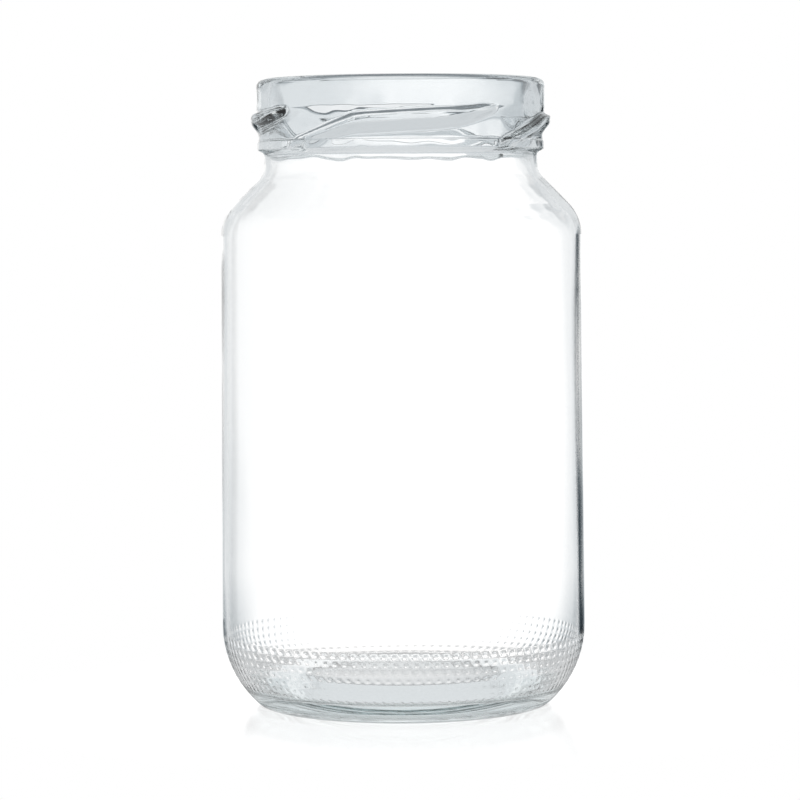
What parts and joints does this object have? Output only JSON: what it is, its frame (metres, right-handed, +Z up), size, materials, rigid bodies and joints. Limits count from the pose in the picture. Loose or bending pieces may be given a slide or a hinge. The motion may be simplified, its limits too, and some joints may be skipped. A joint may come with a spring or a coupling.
{
  "type": "glass canning jar",
  "caption": "Empty round clear glass preserving jar with an open mouth, a lugged twist-off finish, a sloping shoulder, straight sides and a rounded stippled heel.",
  "frame": {"origin": "centre of the standing plane, on the jar's axis", "axes": "+Z up along the jar's axis to the mouth, -Y to the front, where the middle of one lug lies, +X to the right"},
  "size_m": [0.0758, 0.0758, 0.1304],
  "materials": {
    "glass": "clear, colourless, glossy container glass with a fine stipple on the heel"
  },
  "bodies": {
    "root": {"jar": "glass"}
  },
  "joints": []
}
